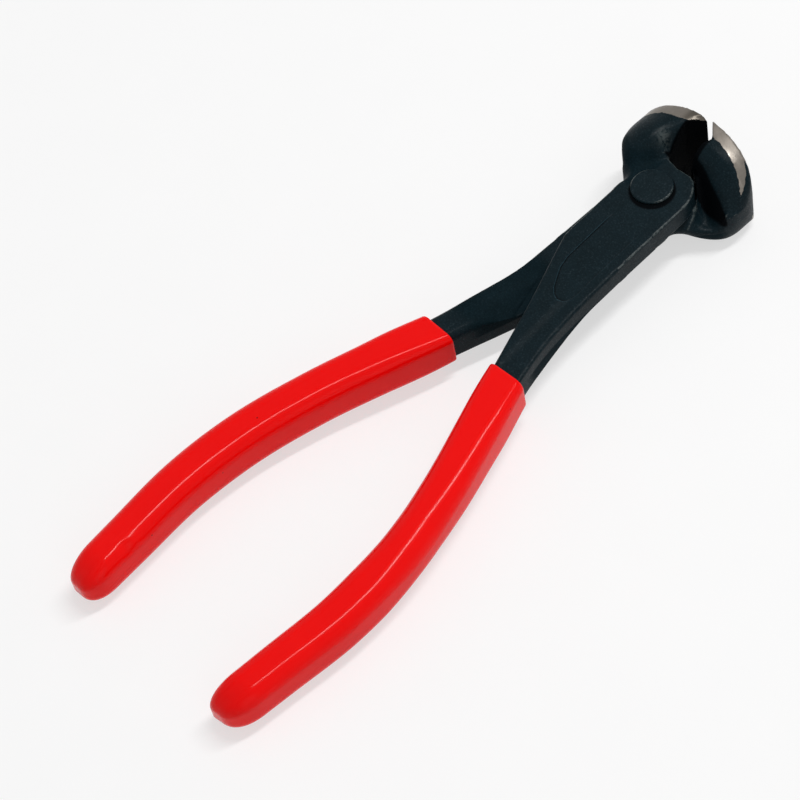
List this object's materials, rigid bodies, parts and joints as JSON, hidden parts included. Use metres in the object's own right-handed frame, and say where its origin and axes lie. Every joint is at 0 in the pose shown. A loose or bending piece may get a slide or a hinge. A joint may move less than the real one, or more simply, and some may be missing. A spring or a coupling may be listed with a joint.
{
  "type": "end cutting nippers",
  "caption": "End cutting nippers with two forged black levers crossed at a flush rivet and red dipped grips, held slightly open.",
  "frame": {"origin": "middle of the whole tool's box, halfway along its length, on the plane where the two levers meet", "axes": "+Y along the tool towards the cutting edges, +Z along the rivet axis towards the front lever's face, +X towards the front lever's handle"},
  "size_m": [0.0692, 0.1997, 0.025],
  "materials": {
    "black_oxide_steel": "satin",
    "rivet_steel": "satin",
    "red_dipped_vinyl": "gloss"
  },
  "bodies": {
    "front": {"front_lever": "black_oxide_steel", "rivet": "rivet_steel", "front_grip": "red_dipped_vinyl"},
    "rear": {"rear_lever": "black_oxide_steel", "rear_grip": "red_dipped_vinyl"}
  },
  "joints": [
    {"name": "pivot", "type": "hinge", "parent": "front", "child": "rear", "pos_m": [0, 0.07775, 0], "axis": [0, 0, -1], "range_deg": [-4.2, 18]}
  ]
}
